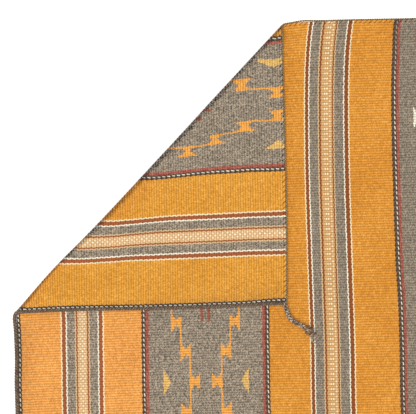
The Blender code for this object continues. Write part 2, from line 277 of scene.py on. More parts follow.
class Shader:  # one material's node tree
    def __init__(self, name, colour):
        self.material = bpy.data.materials.new(name)
        self.material.use_nodes = True
        self.material.diffuse_color = (*colour, 1)
        self.tree = self.material.node_tree
        self.surface = self.tree.nodes["Principled BSDF"]

    def node(self, kind, settings=None, inputs=None):
        made = self.tree.nodes.new(kind)
        for name, setting in (settings or {}).items():
            setattr(made, name, setting)
        for name, given in (inputs or {}).items():
            self.feed(made.inputs[name], given)
        return made

    def feed(self, socket, given):  # links a value, or sets a plain number or colour
        given = getattr(given, "socket", given)
        if isinstance(given, bpy.types.NodeSocket):
            self.tree.links.new(given, socket)
        else:
            socket.default_value = given

    def value(self, kind, settings=None, inputs=None, output=0):
        return Value(self, self.node(kind, settings, inputs).outputs[output])

    def math(self, operation, *values):
        return self.value("ShaderNodeMath", {"operation": operation}, dict(enumerate(values)))

    def mix(self, share, first, second):  # of two colours
        first, second = (colour if hasattr(colour, "socket") else (*colour, 1)
                         for colour in (first, second))
        inputs = {"Factor": share, 6: first, 7: second}  # 6 and 7 are its two colour sockets
        return self.value("ShaderNodeMix", {"data_type": "RGBA"}, inputs, output=2)

    def scaled(self, colour, amount):  # a colour made lighter or darker
        return self.value("ShaderNodeVectorMath", {"operation": "SCALE"},
                          {0: colour, "Scale": amount})

    def ease(self, value, start, end):  # smooth 0 to 1 from start to end, in either direction
        return self.value("ShaderNodeMapRange", {"interpolation_type": "SMOOTHSTEP"},
                          {"Value": value, "From Min": start, "From Max": end})

    def vector(self, x, y, z=0.0):
        return self.value("ShaderNodeCombineXYZ", None, {"X": x, "Y": y, "Z": z})

    def noise(self, place, detail, roughness=0.5):
        return self.value("ShaderNodeTexNoise", None,
                          {"Vector": place, "Scale": 1.0, "Detail": detail,
                           "Roughness": roughness})

    def random(self, x, y, z):  # one number from 0 to 1 for each place
        return self.value("ShaderNodeTexWhiteNoise", {"noise_dimensions": "3D"},
                          {"Vector": self.vector(x, y, z)})

    def millimetres(self):  # the piece's own map, as two values
        place = self.value("ShaderNodeUVMap", {"uv_map": "weave"})
        split = self.node("ShaderNodeSeparateXYZ", None, {0: place})
        return Value(self, split.outputs[0]) * 1000, Value(self, split.outputs[1]) * 1000

    def mark(self):  # the piece's own number at each point
        return self.value("ShaderNodeAttribute", {"attribute_name": "mark"}, output=2)

    def finish(self, colour, roughness, height, distance, sheen):
        bump = self.node("ShaderNodeBump", None,
                         {"Strength": 1.0, "Distance": distance, "Height": height})
        self.feed(self.surface.inputs["Base Color"], colour)
        self.feed(self.surface.inputs["Roughness"], roughness)
        self.feed(self.surface.inputs["Normal"], bump.outputs[0])
        for name, given in (("Sheen Weight", sheen), ("Sheen Roughness", 0.6),
                            ("Specular IOR Level", 0.15)):
            self.surface.inputs[name].default_value = given
        return self.material


def dye(red, green, blue):  # a colour as seen on a screen, 0 to 255, made linear
    parts = [part / 255 for part in (red, green, blue)]
    return tuple(p / 12.92 if p <= 0.04045 else ((p + 0.055) / 1.055) ** 2.4 for p in parts)


yarn = {
    "orange": dye(221, 146, 51), "deep": dye(198, 118, 30), "light": dye(246, 188, 98),
    "sunny": dye(230, 165, 58), "peach": dye(240, 163, 82), "gold": dye(224, 178, 98),
    "motif": dye(234, 160, 68), "grey": dye(144, 130, 112), "rust": dye(166, 92, 53),
    "russet": dye(148, 80, 37), "red": dye(160, 80, 64), "rose": dye(196, 120, 104),
    "bar": dye(152, 74, 50), "brown": dye(82, 64, 50), "braid": dye(122, 106, 92),
    "white": dye(247, 241, 216), "cream": dye(246, 229, 186), "pearl": dye(252, 240, 204),
    "tan": dye(218, 188, 140), "beige": dye(226, 182, 130), "honey": dye(214, 165, 106),
}

# Stripes in mm from the rug's nearer end, each as (where it starts, yarn). Past the middle of
# the second grey band they run back in mirror order.
stripes = (
    (0.0, "brown"), (4.9, "orange"), (59.6, "cream"), (61.4, "rust"), (66.7, "white"),
    (68.5, "grey"), (79.5, "tan"), (81.2, "rust"), (83.2, "beige"), (96.3, "rust"),
    (98.5, "tan"), (100.2, "grey"), (111.2, "white"), (112.9, "rust"), (118.2, "cream"),
    (120.0, "orange"), (172.6, "brown"), (178.5, "red"), (182.6, "grey"),
    (341.6, "red"), (345.4, "brown"), (351.9, "orange"), (408.2, "cream"),
    (409.8, "russet"), (414.2, "white"), (415.8, "grey"), (427.5, "tan"), (429.2, "russet"),
    (431.8, "honey"), (447.5, "russet"), (449.3, "tan"), (450.7, "grey"), (463.2, "white"),
    (464.8, "russet"), (470.3, "cream"), (472.0, "orange"), (531.6, "brown"), (538.7, "red"),
    (542.2, "grey"),
)
bands = {  # in mm from the nearer end
    "turn": 623.15, "split": 262.0, "dottedMiddles": (90.0, 440.0),
    "dashLines": (2.3, 176.0, 349.1, 536.5),
    "brownLines": ((0.0, 4.9), (172.6, 178.5), (345.4, 351.9), (531.6, 538.7)),
    "redLines": ((178.5, 182.6), (341.6, 345.4), (538.7, 542.2)),
    "greyBands": ((182.6, 341.6), (542.2, 704.1)), "greyMiddles": (262.2, 623.15),
    "greyStripes": ((68.5, 79.5), (100.2, 111.2), (415.8, 427.5), (450.7, 463.8)),
    "orangeBands": ((4.9, 59.4), (120.0, 172.6), (351.9, 407.9), (472.0, 531.6)),
}
stray = {  # rows of (mm, then where along u, v or the corner it grows, or fades if turned round)
    "cornerDepth": 273.3,
    "flap": ((4.1, ("u", 10, 60)), (5.4, ("u", 150, 370))),
    "evened": ((0.8, ("corner", 78, 15), ("u", 320, 250)),),
    "drop": ((1.2, ("u", 20, 80), ("v", 55, 0)), (1.5, ("u", 120, 176), ("v", 55, 0)),
             (3.0, ("u", 200, 300), ("v", 55, 0))),
    "layer": ((1.3, ("v", 260, 90), ("u", 520, 450)), (-1.6, ("v", 440, 540)),
              (1.2, ("v", 450, 400), ("u", 400, 360)), (1.8, ("v", 330, 400), ("u", 490, 540)),
              (-2.5, ("v", 50, 5), ("u", 490, 540))),
    "onFlap": ((1.0, ("corner", -22, 12)),),
    "pastEnd": ((1.0, ("u", 4, 30)),),
    "atEnd": ((1.6, ("u", 30, 4), ("v", 20, 60)),),
}


def strayed(shader, u, v):
    # How far in mm the woven stripes stray from their even places: the folded corner and the
    # rest of the rug each stray in their own way, and meet at the fold
    corner = 1 - u / (turned["onSide"] * 1000) - v / (turned["onEnd"] * 1000)
    along = {"u": u, "v": v, "corner": corner * stray["cornerDepth"]}

    def total(name):  # each row's mm times its slopes, summed
        whole = 0
        for amount, *slopes in stray[name]:
            for axis, low, high in slopes:
                amount = shader.ease(along[axis], low, high) * amount
            whole = whole + amount
        return whole

    flap = total("flap") * (1 - total("evened")) - total("drop")
    layer = total("layer")
    onFlap = total("onFlap")
    inward = (layer + onFlap * (flap - layer)) * total("pastEnd")
    return inward - onFlap * total("atEnd")


def stripeColour(shader, place):  # each stripe in turn takes over from where it starts
    colour = yarn[stripes[0][1]]
    for start, name in stripes[1:]:
        colour = shader.mix(place > start, colour, yarn[name])
    return colour


def within(value, ranges):  # 1 inside any of the ranges
    inside = 0
    for low, high in ranges:
        inside = inside + (value > low) * (value < high)
    return inside


def spot(x, halfX, y, halfY):  # 1 inside an ellipse
    x, y = x / halfX, y / halfY
    return x * x + y * y < 1


weave = {  # lengths in mm, then how finely the wool's chances are spread
    "pick": 0.95, "wave": 0.5, "waveChance": 0.8, "fleckLength": 1.1, "fleckSlant": 0.37,
    "cloudAlong": 0.02, "cloudAcross": 0.012, "streakAlong": 0.16, "streakAcross": 0.73,
}


class Thread:  # where a point of the rug lies, in mm and in threads, with the chances it takes
    def __init__(self, shader):
        self.u, self.v = u, v = shader.millimetres()
        self.past = shader.mark()  # past the bend's start
        self.ribPitch = rug["width"] * 1000 / rug["ribs"]
        ribs = v / self.ribPitch
        self.rib = ribs.floor()
        self.inRib = ribs - self.rib - 0.5
        self.odd = self.rib % 2
        self.even = 1 - self.odd
        pair = (ribs / 2).floor()
        self.inPair = (ribs / 2 - pair - 0.5) * (2 * self.ribPitch)
        picks = u / weave["pick"] + self.odd * 0.5
        pick = picks.floor()
        self.acrossPick = abs(picks - pick - 0.5) * 2

        # Chances of each bead of weft, rib, pair of ribs and fleck, kept apart by a last number
        self.bead = shader.random(self.rib, pick, 0.5)
        self.ribChance = shader.random(self.rib, 7.0, 3.0)
        self.pairChance = shader.random(pair, 11.0, 5.0)
        half = (v / (self.ribPitch / 2)).floor()
        column = (u / weave["fleckLength"] + half * weave["fleckSlant"]).floor()
        self.fleck = shader.random(column, half, 9.0)
        cloud = shader.vector(u * weave["cloudAlong"], v * weave["cloudAcross"])
        self.cloudy = shader.noise(cloud, 3.0)
        streak = shader.vector(u * weave["streakAlong"], self.rib * weave["streakAcross"])
        self.streak = shader.noise(streak, 2.0)

        # Along the bands: from the nearer end, then turned back at the second grey band
        place = u - strayed(shader, u, v)
        self.near = place.smaller(rug["length"] * 1000 - place)
        self.folded = bands["turn"] - abs(self.near - bands["turn"])
        zigzag = abs(self.inPair) / self.ribPitch * 2 - 1
        scallop = (zigzag + (self.ribChance - 0.5) * weave["waveChance"]) * weave["wave"]
        self.wavy = self.folded + scallop


beads = {  # light spots of the dotted stripes: columns and half widths in mm, heights in ribs
    "column": 3.0, "half": 1.0, "leftHalf": 0.9, "height": 0.46, "sideHeight": 0.42,
    "innerMiddle": 0.4, "innerLeft": 0.2, "innerRight": 1.5, "bright": 0.8, "dim": 0.7,
    "seedColumn": 5.2, "seedShift": 0.4, "seedHalf": 0.6, "seedHeight": 0.36, "seeds": 0.45,
}


def addBeads(shader, at, colour):
    # The outer dotted stripe has one bright column between two dimmer ones, and the inner one
    # has two bright columns side by side and a dimmer one
    b = beads
    outer, inner = bands["dottedMiddles"]
    isInner = at.folded > bands["split"]
    x = at.folded - (outer + isInner * (inner - outer))
    bright = spot(x - isInner * b["innerMiddle"], b["half"], at.inRib, b["height"]) * at.even
    left = spot(x + b["column"] - isInner * b["innerLeft"], b["leftHalf"], at.inRib,
                b["sideHeight"])
    right = spot(x - b["column"] - isInner * b["innerRight"], b["half"], at.inRib,
                 b["sideHeight"]) * at.odd
    bright = bright.larger(left * isInner * at.even)
    dim = right.larger(left * (1 - isInner) * at.odd)
    seeds = spot(abs(x + b["seedShift"]) - b["seedColumn"], b["seedHalf"], at.inRib,
                 b["seedHeight"]) * at.even
    share = b["bright"] + at.ribChance * (1 - b["bright"])
    colour = shader.mix(bright * share, colour, yarn["pearl"])
    colour = shader.mix(dim * b["dim"], colour, yarn["pearl"])
    return shader.mix(seeds * b["seeds"], colour, yarn["cream"])


lines = {  # sizes in mm, the rest as shares
    "braidSlant": 0.9, "braidLevel": 0.25, "endBraid": 0.12, "innerBraid": 0.33, "endLine": 10,
    "dashSlant": 0.16, "dashHalf": 0.82, "dashLength": 1.9, "dashChance": 0.5, "dashShare": 0.8,
    "wornPast": 500, "wornSide": (120, 25), "worn": 0.6, "roseOver": 0.62, "rose": 0.5,
}


def addLines(shader, at, colour):  # braided brown lines, white dashes on them, flecks in the red
    n = lines
    braid = ((at.inPair + at.folded * n["braidSlant"]) * (math.pi / at.ribPitch)).sine()
    share = n["endBraid"] + n["innerBraid"] * (at.folded > n["endLine"])
    braid = within(at.wavy, bands["brownLines"]) * (braid > n["braidLevel"])
    colour = shader.mix(braid * share, colour, yarn["braid"])
    dashes = 0
    length = n["dashLength"] + at.pairChance * n["dashChance"]
    for line in bands["dashLines"]:
        slanted = at.folded - line - at.inPair * n["dashSlant"]
        dashes = spot(slanted, n["dashHalf"], at.inPair, length).larger(dashes)
    worn = 1 - (at.near > n["wornPast"]) * shader.ease(at.v, *n["wornSide"]) * n["worn"]
    share = n["dashShare"] + at.pairChance * (1 - n["dashShare"])
    colour = shader.mix(dashes * worn * share, colour, yarn["white"])
    rose = within(at.wavy, bands["redLines"]) * (at.bead > n["roseOver"])
    return shader.mix(rose * n["rose"], colour, yarn["rose"])


figures = {  # the stepped figures of the grey bands, in mm
    "start": 8.6, "step": 40.83, "climb": 3, "nearest": 15.8, "shift": 12.5, "ragged": 0.9,
    "halfWidth": 7.2, "waist": 3.5, "flare": 8.4, "lean": 0.10, "climbLean": 0.12, "line": 1.0,
    "triangleAt": 49.0, "triangleDepth": 10.8, "triangleHeight": 17.4,
    "taller": 11, "tallerSide": 60,
    "barAt": 4.9, "barHalf": 1.8, "barFrom": -20.5, "barLonger": 15, "barTo": 38.5,
    "barSlip": 4.2, "barSlipFold": (0, 20), "lozenge": 17.0, "lozengeHeight": 9.0,
    "driftGrow": (-10, 85), "driftFade": (260, 60), "drift": 10.5,
    "slipGrow": (280, 300), "slipFade": (110, 70), "slip": 3.0, "slipEnd": 345,
    "sway": 2.4, "swayFrom": 498.6, "swayLength": 340,
    "tieShare": 0.95, "triangleShare": 0.9, "barShare": 0.85,
}


def drifted(shader, at):  # how far the figures stray along the ribs' way across, in mm
    f, ease = figures, shader.ease
    drift = ease(at.v, *f["driftGrow"]) * ease(at.v, *f["driftFade"]) * f["drift"]
    slip = ease(at.u, *f["slipGrow"]) * ease(at.v, *f["slipFade"]) * f["slip"]
    sway = ((at.v - f["swayFrom"]) * (2 * math.pi / f["swayLength"])).sine() * f["sway"]
    return drift + slip * (at.near < f["slipEnd"]) + sway


def addFigures(shader, at, colour):
    # Bow ties climb and fall by whole steps, linked by thin lines, with a triangle at each
    # turn and bars round a lozenge in the middle. All are cut to whole ribs, as a tapestry
    # weave cuts them. Returns the colour, where a figure is, and where the grey bands are.
    f, top = figures, figures["climb"]
    drift = drifted(shader, at)
    first, second = bands["greyMiddles"]
    later = at.near > bands["dottedMiddles"][1]
    across = abs(at.near - (first + later * (second - first)))
    ragged = across + (at.ribChance - 0.5) * f["ragged"]
    vRib = (at.rib + 0.5) * at.ribPitch - drift - f["start"]
    steps = (at.v - drift - f["start"]) / f["step"]
    nearest = (steps + 0.5).floor()
    climb = top - abs(steps % (2 * top) - top)
    nearestClimb = top - abs(nearest % (2 * top) - top)
    away = abs(vRib - nearest * f["step"])

    inTie = ragged - (f["nearest"] + nearestClimb * f["shift"])
    flare = abs(inTie) / f["halfWidth"]
    lean = inTie * (f["lean"] + nearestClimb * f["climbLean"])
    tie = (flare < 1) * (away < f["waist"] + flare * f["flare"] + lean)
    between = (climb.floor().smaller(top - 1) + 0.5) * f["shift"] + f["nearest"]
    tie = tie.larger(abs(ragged - between) < f["line"])

    depth = ragged - f["triangleAt"]
    tall = f["triangleHeight"] + (at.v < f["tallerSide"]) * (at.near > first) * f["taller"]
    triangle = (depth > 0) * (depth < f["triangleDepth"]) * (nearestClimb < 0.5)
    triangle = triangle * (away < depth * tall / f["triangleDepth"])

    whole = f["step"] * 2 * top
    fromCentre = vRib % whole - whole / 2
    slipped = at.near + shader.ease(at.past, *f["barSlipFold"]) * f["barSlip"]
    slipped = abs(slipped - first - later * (second - first))
    bar = abs(slipped - f["barAt"]) < f["barHalf"]
    bar = bar * (fromCentre > f["barFrom"] - (at.near > first) * f["barLonger"])
    bar = bar * (fromCentre < f["barTo"])
    bar = bar.larger(ragged < f["lozenge"] * (1 - abs(fromCentre) / f["lozengeHeight"]))

    inGrey = within(at.folded, bands["greyBands"])
    for mask, share, firstYarn, laterYarn in (
        (tie, f["tieShare"], "motif", "white"),
        (triangle, f["triangleShare"], "gold", "rust"),
        (bar, f["barShare"], "bar", "motif"),
    ):
        figureColour = shader.mix(later, yarn[firstYarn], yarn[laterYarn])
        colour = shader.mix(inGrey * mask * share, colour, figureColour)
    return colour, tie.larger(triangle).larger(bar), inGrey


wearAndShade = {  # where in mm, and by what share, the wool is faded, uneven or dark with painted shade
    "fadedSide": (330, 420), "fadedEnd": (330, 200), "paleGrey": 0.13, "paleBefore": 342.0,
    "sunnyPast": (20, 50), "sunny": 0.5, "streaky": 0.8, "cloudy": 0.6, "flecked": 0.5,
    "mostUneven": 0.6, "paleFlecks": (0.75, 1), "paler": 0.22, "darker": 0.03,
    "bead": 0.16, "heather": 0.68, "outerHeather": 0.3, "plainHeather": 0.2, "inFigures": 0.85,
    "streak": 0.20, "abrash": 0.10, "ribShade": 0.396, "greyRibShade": 0.15,
    "ribShadeFrom": 0.6, "ribShadeStreak": 0.8,
    "loopEdge": (5.0, 3.0), "loopSlant": 0.9, "loopPitch": 7, "loopGap": (0.1, 0.9),
    "loopDark": 0.5, "loopLight": 0.06, "creaseShadeAt": 17.0, "creaseShadeReach": (8.0, 2.5),
    "crease": 0.45,
}


def addWearAndShade(shader, at, colour, figured, inGrey):
    # Sun-faded orange in the end band and on the turned corner, uneven dye, heathered grey,
    # painted shade between the ribs, weft loops at the long sides and a painted shade line along
    # the fold
    w, ease = wearAndShade, shader.ease
    isOrange = within(at.wavy, bands["orangeBands"])
    isGrey = inGrey.larger(within(at.wavy, bands["greyStripes"]))
    outer = at.near < w["paleBefore"]
    faded = isOrange * ease(at.v, *w["fadedSide"]) * ease(at.u, *w["fadedEnd"])
    colour = shader.mix(faded, colour, yarn["peach"])
    colour = shader.scaled(colour, 1 + isGrey * outer * w["paleGrey"])
    sunny = isOrange * ease(at.past, *w["sunnyPast"]) * w["sunny"]
    colour = shader.mix(sunny, colour, yarn["sunny"])
    uneven = (at.streak - 0.5) * w["streaky"] + (at.cloudy - 0.5) * w["cloudy"]
    uneven = uneven + (at.fleck - 0.5) * w["flecked"]
    paler = isOrange * uneven.larger(0).smaller(w["mostUneven"])
    deeper = isOrange * (0 - uneven).larger(0).smaller(w["mostUneven"])
    colour = shader.mix(paler, colour, yarn["light"])
    colour = shader.mix(deeper, colour, yarn["deep"])

    flecks = (at.fleck - 0.5) * w["heather"] + ease(at.fleck, *w["paleFlecks"]) * w["paler"]
    flecks = (flecks - w["darker"]) * (1 + w["outerHeather"] * outer)
    inWool = isGrey * (1 - figured * inGrey * w["inFigures"]) * (1 - w["plainHeather"])
    heather = (at.bead - 0.5) * w["bead"] + flecks * (w["plainHeather"] + inWool)
    dyed = (at.cloudy - 0.5) * w["abrash"] + (at.streak - 0.5) * w["streak"]
    # painted shade: darker in the hollows between the ribs, more on grey, unevenly along the
    # streaks
    ribShade = (abs(at.inRib) * 2) ** 2 * w["ribShade"] * (1 + isGrey * w["greyRibShade"])
    ribShade = ribShade * (w["ribShadeFrom"] + at.streak * w["ribShadeStreak"])
    edge = at.v.smaller(rug["width"] * 1000 - at.v)
    gaps = ((at.u + edge * w["loopSlant"]) * (2 * math.pi / w["loopPitch"])).sine()
    loops = ease(gaps, *w["loopGap"]) * w["loopDark"] - w["loopLight"]
    loops = ease(edge, *w["loopEdge"]) * loops
    # painted shade: a dark line along the fold's outermost edge, where the bend turns away from the
    # light
    crease = ease(abs(at.past - w["creaseShadeAt"]), *w["creaseShadeReach"]) * w["crease"]
    return shader.scaled(colour, 1 + heather + dyed - ribShade - loops - crease)


relief = {  # the weave's fine height, its depth in metres, and its gloss
    "pick": 0.7, "bead": 0.3, "rib": 0.6, "distance": 0.00022, "sheen": 0.08,
    "roughness": 0.88, "beadRoughness": 0.1,
}


def rugWool():  # stripes first, then beads, lines, figures, and wear and painted shade over them
    shader = Shader("bandedWool", yarn["orange"])
    at = Thread(shader)
    colour = stripeColour(shader, at.wavy)
    colour = addBeads(shader, at, colour)
    colour = addLines(shader, at, colour)
    colour, figured, inGrey = addFigures(shader, at, colour)
    colour = addWearAndShade(shader, at, colour, figured, inGrey)
    height = (1 - at.acrossPick ** 2) * relief["pick"] + at.bead * relief["bead"]
    height = height - (abs(at.inRib) * 2) ** 4 * relief["rib"]
    roughness = relief["roughness"] + at.bead * relief["beadRoughness"]
    return shader.finish(colour, roughness, height, relief["distance"], relief["sheen"])


cordLook = {  # fibres and specks to the millimetre of the cord's map, then shares
    "fibresAlong": 2.2, "fibresAround": 0.012566, "fibre": 0.12, "lit": 1.02,
    "specksAlong": 0.42, "specksAround": 0.003, "speckFrom": 0.46, "speckTo": 0.6,
    "knotPast": 15000, "knot": dye(112, 76, 48), "knotShare": 0.65,
    # painted shade between the plies, read from how far out each point is
    "plyShadeFrom": 0.98, "plyShadeTo": 0.45, "between": 0.65,
    "detail": 3.0, "speckRoughness": 0.65, "fibreHeight": 0.5, "distance": 0.00018,
    "sheen": 0.1, "roughness": 0.9, "speckDull": 0.05,
}


def cordWool(name, base, light):
    # Plies of spun wool: fine fibres wind round each ply, with light and dark flecks. It has
    # painted shade between the plies, and is browner on the knot, which lies further round on the
    # map.
    shader, c = Shader(name, base), cordLook
    along, around = shader.millimetres()
    fibre = (along * c["fibresAlong"] + around * c["fibresAround"]).sine()
    specks = shader.vector(along * c["specksAlong"], around * c["specksAround"])
    speck = shader.noise(specks, c["detail"], c["speckRoughness"])
    colour = shader.mix(shader.ease(speck, c["speckFrom"], c["speckTo"]), base, light)
    colour = shader.mix((around > c["knotPast"]) * c["knotShare"], colour, c["knot"])
    # painted shade: darker where a point lies in from the cord's outside, between the plies
    between = shader.ease(shader.mark(), c["plyShadeFrom"], c["plyShadeTo"])
    colour = shader.scaled(colour, c["lit"] + fibre * c["fibre"] - between * c["between"])
    height = fibre * c["fibreHeight"] + speck
    roughness = c["roughness"] + speck * c["speckDull"]
    return shader.finish(colour, roughness, height, c["distance"], c["sheen"])


def buildRug(material):
    # Rows follow the ribs. Columns lie at set depths round the bend and are even elsewhere,
    # so columns that a row doesn't reach fall together on the left end and are merged.
    rows = rug["ribs"] * rug["rowsPerRib"] + 1
    v = np.linspace(0, rug["width"], rows)
    relaxed = turned["bendLength"] + turned["relaxLength"]
    depths = np.concatenate([
        np.linspace(relaxed, turned["bendLength"], rug["relaxColumns"] + 1),
        np.linspace(turned["bendLength"], 0, rug["bendColumns"] + 1)[1:],
    ])
    bent = np.stack([uAtDepth(depth, v) for depth in depths])
    flap = np.linspace(0, 1, rug["flapColumns"] + 1)[:-1, None] * bent[0]
    share = np.linspace(0, 1, rug["layerColumns"] + 1)[1:, None]
    layer = bent[-1] + (rug["length"] - bent[-1]) * share
    u = np.vstack([flap, bent, layer]).T
    v = np.broadcast_to(v[:, None], u.shape)
    ribTurn = 2 * np.pi * v * rug["ribs"] / rug["width"]
    lift = mid - rug["ribDepth"] * (0.5 + 0.5 * np.cos(ribTurn))
    upper, lower = onRug(u, v, lift), onRug(u, v, -lift)
    count = u.size
    index = np.arange(count).reshape(u.shape)
    index = np.where(u < rug["merged"], index[:, :1], index)
    under = index + count
    rims = []
    for near, far in (  # left end, right end, far side, near side
        (under[:, 0], index[:, 0]), (index[:, -1], under[:, -1]),
        (index[0], under[0]), (under[-1], index[-1]),
    ):
        rims.append(gridTriangles(np.stack([near, far], 1)))
    triangles = np.concatenate([gridTriangles(index), gridTriangles(under)[:, ::-1], *rims])
    points = np.concatenate([upper.reshape(-1, 3), lower.reshape(-1, 3)])
    uvs = np.tile(np.stack([u.ravel(), v.ravel()], 1), (2, 1))
    past = np.clip(pastBend(u, v).ravel() * 1000, *rug["markRange"])  # mm past the bend's start
    marks = np.tile(past, 2)
    piece = meshPiece("wovenRug", points, triangles, uvs, marks, material)
    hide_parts("woven_field")
    return piece


plyShift = 1.3  # each ply lies this far round on the map from the one before


def plies(route, sideways, upward, turn, plyCount, spread, radius, sides=8):
    # Each ply's centre circles the route by the twist, at the spread. A ring of points round
    # it is carried along, and a point closes each end. Returns points, triangles, a map of
    # metres along and turns round, and how far out each point is, 1 on the cord's outside.
    lengths = np.linalg.norm(np.diff(route, axis=0), axis=1)
    along = np.concatenate([[0], np.cumsum(lengths)])
    around = np.linspace(0, 2 * np.pi, sides + 1)
    radius = np.broadcast_to(radius, along.shape)
    points, triangles, uvs, marks = [], [], [], []
    for ply in range(plyCount):
        at = (turn + 2 * np.pi * ply / plyCount)[:, None]
        centre = route + np.cos(at) * spread * sideways + np.sin(at) * spread * upward
        out = (np.cos(around)[None, :, None] * sideways[:, None]
               + np.sin(around)[None, :, None] * upward[:, None])
        rings = centre[:, None] + out * radius[:, None, None]
        index = np.arange(rings.shape[0] * rings.shape[1]).reshape(rings.shape[:2])
        index[:, -1] = index[:, 0]
        turnsRound = around[None] / (2 * np.pi) + ply * plyShift
        mapped = np.stack(np.broadcast_arrays(along[:, None], turnsRound), -1)
        base = sum(len(part) for part in points)
        body = gridTriangles(index)
        last = index.size
        poles = np.stack([centre[0], centre[-1]])
        fans = []
        for pole, ring, flip in ((last, index[0], True), (last + 1, index[-1], False)):
            pair = (ring[:-1], ring[1:]) if flip else (ring[1:], ring[:-1])
            fans.append(np.stack([np.full(sides, pole), *pair], 1))
        points.append(np.concatenate([rings.reshape(-1, 3), poles]))
        outer = np.linalg.norm(rings - route[:, None], axis=2) / (spread + radius)[:, None]
        marks.append(np.concatenate([outer.ravel(), [0.5, 0.5]]))  # the last two are the poles'
        uvs.append(np.concatenate([mapped.reshape(-1, 2), [[along[0], 0], [along[-1], 0]]]))
        triangles.append(np.concatenate([body, *fans]) + base)
    return [np.concatenate(part) for part in (points, triangles, uvs, marks)]


def joined(shapes):  # several shapes as one, each one's point numbers moved on
    bases = np.cumsum([0] + [len(shape[0]) for shape in shapes])
    triangles = [shape[1] + base for shape, base in zip(shapes, bases)]
    points, uvs, marks = (np.concatenate([shape[i] for shape in shapes]) for i in (0, 2, 3))
    return points, np.concatenate(triangles), uvs, marks


endCord = {"diameter": 0.0058, "gap": -0.0005, "pitch": 0.0120, "ringsPerTurn": 12, "plies": 3}
sideCord = {"diameter": 0.0024, "gap": -0.0004, "pitch": 0.0065, "ringsPerTurn": 8, "plies": 2}
plyShare = 0.26  # a ply's radius beside the cord's diameter


def edgeCord(name, node, size, start, end, outward, material):
    # The edge's line stood off by half the cord and its gap, with the plies twisted round it
    standOff = size["diameter"] / 2 + size["gap"]
    length = math.hypot(end[0] - start[0], end[1] - start[1])
    rings = int(length / size["pitch"] * size["ringsPerTurn"])
    share = np.linspace(0, 1, rings)
    u = start[0] + (end[0] - start[0]) * share + outward[0] * standOff
    v = start[1] + (end[1] - start[1]) * share + outward[1] * standOff
    depth = np.maximum(pastBend(u, v), 0)
    lift = (size["diameter"] / 2 - mid) * (1 - smoothStep(depth / turned["bendLength"]))
    route = onRug(u, v, lift)
    upward = clothNormal(u, v)
    tangent = np.gradient(route, axis=0)
    tangent /= np.linalg.norm(tangent, axis=1)[:, None]
    sideways = np.cross(tangent, upward)
    sideways /= np.linalg.norm(sideways, axis=1)[:, None]
    upward = np.cross(sideways, tangent)
    turn = 2 * np.pi * share * length / size["pitch"]
    radius = size["diameter"] * plyShare
    spread = size["diameter"] / 2 - radius
    shape = plies(route, sideways, upward, turn, size["plies"], spread, radius)
    piece = meshPiece(name, *shape, material)
    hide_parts(node)
    return piece


tassel = {
    "cord": 0.0048, "thickness": 0.0070, "pitch": 0.0150, "step": 0.0007, "clearance": 0.0003,
    "plies": 3, "plySides": 10, "plyShare": 0.25, "startGap": 0.0006, "headingSteps": 5,
    "knot": (0.0200, 0.0135, 0.0082), "knotTurns": 2.5, "knotStrand": 0.0021, "knotPoints": 90,
    "knotEnd": 0.45, "knotMap": 20, "knotShade": (0.35, 0.75),
    "ends": 9, "endRadius": 0.00080, "endLength": 0.0085, "endPoints": 16, "endSides": 6,
    "shortest": 0.55, "endLift": 0.0016, "curl": 0.0009, "curls": (350, 700),
    "fanStart": 0.005, "fan": 0.9, "endTip": 0.45, "seed": 4,
}
# Routes in millimetres from the corner: (away from the rug's end, along it towards the middle)
foldedRoute = ((0, 2.0), (6.3, 0.9), (14.2, -1.5), (22.1, -5.4), (27.9, -10.7), (31.5, -16.9),
               (34.4, -22.4), (37.7, -27.4), (42.4, -32.8))
looseRoute = ((0, 2.0), (6, 2.2), (13, 1.2), (20, -0.8), (27, -2.6), (34, -3.2), (41, -2.0),
              (48, 1.0))


def smoothRoute(points, step):  # cubic pieces through the points, read at even steps
    points = np.array(points)
    knots = np.concatenate([[0], np.cumsum(np.linalg.norm(np.diff(points, axis=0), axis=1))])
    slopes = np.gradient(points, knots, axis=0)
    places = np.linspace(0, knots[-1], int(knots[-1] / step) + 1)
    i = np.clip(np.searchsorted(knots, places, side="right") - 1, 0, len(knots) - 2)
    span = (knots[i + 1] - knots[i])[:, None]
    t = (places - knots[i])[:, None] / span
    start = points[i] * (2 * t**3 - 3 * t**2 + 1) + slopes[i] * span * (t**3 - 2 * t**2 + t)
    end = points[i + 1] * (3 * t**2 - 2 * t**3) + slopes[i + 1] * span * (t**3 - t**2)
    return start + end, places


def levelFrame(route):  # sideways and upward at each point of a nearly level route
    tangent = np.gradient(route, axis=0)
    tangent /= np.linalg.norm(tangent, axis=1)[:, None]
    sideways = np.cross(tangent, [0, 0, 1])
    sideways /= np.linalg.norm(sideways, axis=1)[:, None]
    return sideways, np.cross(sideways, tangent)


def cornerRoute(u, v, away, inward, route, height):  # a route laid out from a corner
    start = onRug(np.float64(u), np.float64(v), 0)[:2]
    places = np.array(route) / 1000
    flat = start + np.outer(places[:, 0] + tassel["startGap"], away)
    flat = flat + np.outer(places[:, 1], inward)
    return np.column_stack([flat, np.full(len(flat), height)])


